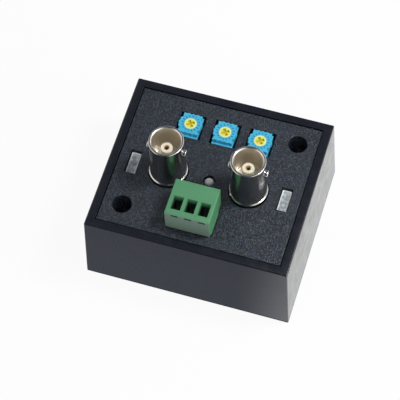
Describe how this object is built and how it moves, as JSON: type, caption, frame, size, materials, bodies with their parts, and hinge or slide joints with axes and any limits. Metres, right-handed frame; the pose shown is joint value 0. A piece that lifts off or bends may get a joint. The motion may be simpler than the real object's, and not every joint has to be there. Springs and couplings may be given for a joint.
{
  "type": "video amplifier",
  "caption": "Small black surface-mounted video line amplifier with bayonet input and output jacks, trimmers, lamps and a pluggable power terminal.",
  "frame": {"origin": "centre of the underside of the case", "axes": "+Z out of the face that carries the jacks, +X to the right of that face, +Y to its back edge, where the trimmers are"},
  "size_m": [0.0594, 0.051, 0.0427],
  "materials": {
    "black_abs": "semi-matt moulded black",
    "black_epoxy": "moulded chip package",
    "blue_trimmer": "bright blue moulding",
    "can_sleeve": "shrunk sleeve on an aluminium can",
    "chip_ceramic": "chip part",
    "clear_resin": "clear cast resin",
    "contact_gold": "plated contact",
    "cream_insulator": "cream moulded insulator",
    "green_board": "solder mask",
    "green_terminal": "green moulded terminal block",
    "nickel": "bright nickel plate",
    "screw_steel": "zinc plated",
    "textured_black_abs": "coarse spark-eroded texture",
    "tinned_metal": "tin plated",
    "track_substrate": "carbon track on a laminate",
    "yellow_rotor": "yellow moulding"
  },
  "bodies": {
    "case": {"housing_shell": "black_abs", "face_panel": "textured_black_abs", "base_plate": "black_abs", "case_screws": "screw_steel", "circuit_board": "green_board", "board_screws": "screw_steel", "input_jack_body": "nickel", "input_jack_insulator": "cream_insulator", "input_jack_contact": "contact_gold", "output_jack_body": "nickel", "output_jack_insulator": "cream_insulator", "output_jack_contact": "contact_gold", "terminal_header": "green_terminal", "header_pins": "tinned_metal", "left_trimmer_body": "blue_trimmer", "left_trimmer_track": "track_substrate", "left_trimmer_terminals": "tinned_metal", "middle_trimmer_body": "blue_trimmer", "middle_trimmer_track": "track_substrate", "middle_trimmer_terminals": "tinned_metal", "right_trimmer_body": "blue_trimmer", "right_trimmer_track": "track_substrate", "right_trimmer_terminals": "tinned_metal", "round_lamp": "clear_resin", "round_lamp_leads": "tinned_metal", "left_lamp": "clear_resin", "left_lamp_leads": "tinned_metal", "right_lamp": "clear_resin", "right_lamp_leads": "tinned_metal", "amplifier_chip": "black_epoxy", "amplifier_chip_legs": "tinned_metal", "voltage_regulator": "black_epoxy", "bridge_rectifier": "black_epoxy", "smoothing_capacitor": "can_sleeve", "coupling_capacitor": "can_sleeve", "chip_resistors": "chip_ceramic", "chip_capacitors": "chip_ceramic"},
    "terminal_plug": {"plug_hood": "green_terminal", "plug_contact_carrier": "green_terminal", "plug_contacts": "tinned_metal"},
    "left_clamp_screw": {"left_clamp_screw": "tinned_metal"},
    "left_clamp_cage": {"left_clamp_cage": "tinned_metal"},
    "middle_clamp_screw": {"middle_clamp_screw": "tinned_metal"},
    "middle_clamp_cage": {"middle_clamp_cage": "tinned_metal"},
    "right_clamp_screw": {"right_clamp_screw": "tinned_metal"},
    "right_clamp_cage": {"right_clamp_cage": "tinned_metal"},
    "left_trimmer_rotor": {"left_trimmer_rotor": "yellow_rotor"},
    "middle_trimmer_rotor": {"middle_trimmer_rotor": "yellow_rotor"},
    "right_trimmer_rotor": {"right_trimmer_rotor": "yellow_rotor"}
  },
  "joints": [
    {"name": "plug_pull", "type": "slide", "parent": "case", "child": "terminal_plug", "axis": [0, 0, 1], "range_m": [0, 0.012]},
    {"name": "left_clamp_turn", "type": "hinge", "parent": "terminal_plug", "child": "left_clamp_screw", "pos_m": [-0.00461, -0.009, 0.0309], "axis": [0, -1, 0], "range_deg": [0, 1710]},
    {"name": "left_clamp_rise", "type": "slide", "parent": "terminal_plug", "child": "left_clamp_cage", "axis": [0, 1, 0], "range_m": [0, 0.0019]},
    {"name": "middle_clamp_turn", "type": "hinge", "parent": "terminal_plug", "child": "middle_clamp_screw", "pos_m": [-0.0008, -0.009, 0.0309], "axis": [0, -1, 0], "range_deg": [0, 1710]},
    {"name": "middle_clamp_rise", "type": "slide", "parent": "terminal_plug", "child": "middle_clamp_cage", "axis": [0, 1, 0], "range_m": [0, 0.0019]},
    {"name": "right_clamp_turn", "type": "hinge", "parent": "terminal_plug", "child": "right_clamp_screw", "pos_m": [0.00301, -0.009, 0.0309], "axis": [0, -1, 0], "range_deg": [0, 1710]},
    {"name": "right_clamp_rise", "type": "slide", "parent": "terminal_plug", "child": "right_clamp_cage", "axis": [0, 1, 0], "range_m": [0, 0.0019]},
    {"name": "left_trimmer_turn", "type": "hinge", "parent": "case", "child": "left_trimmer_rotor", "pos_m": [-0.00985, 0.01335, 0.0278], "axis": [0, 0, 1], "range_deg": [-120, 120]},
    {"name": "middle_trimmer_turn", "type": "hinge", "parent": "case", "child": "middle_trimmer_rotor", "pos_m": [0.00025, 0.01335, 0.0278], "axis": [0, 0, 1], "range_deg": [-120, 120]},
    {"name": "right_trimmer_turn", "type": "hinge", "parent": "case", "child": "right_trimmer_rotor", "pos_m": [0.01035, 0.01335, 0.0278], "axis": [0, 0, 1], "range_deg": [-120, 120]}
  ],
  "couplings": [
    {"joint": "left_clamp_turn", "follows": "left_clamp_rise", "rad_per_m": 15708},
    {"joint": "middle_clamp_turn", "follows": "middle_clamp_rise", "rad_per_m": 15708},
    {"joint": "right_clamp_turn", "follows": "right_clamp_rise", "rad_per_m": 15708}
  ]
}
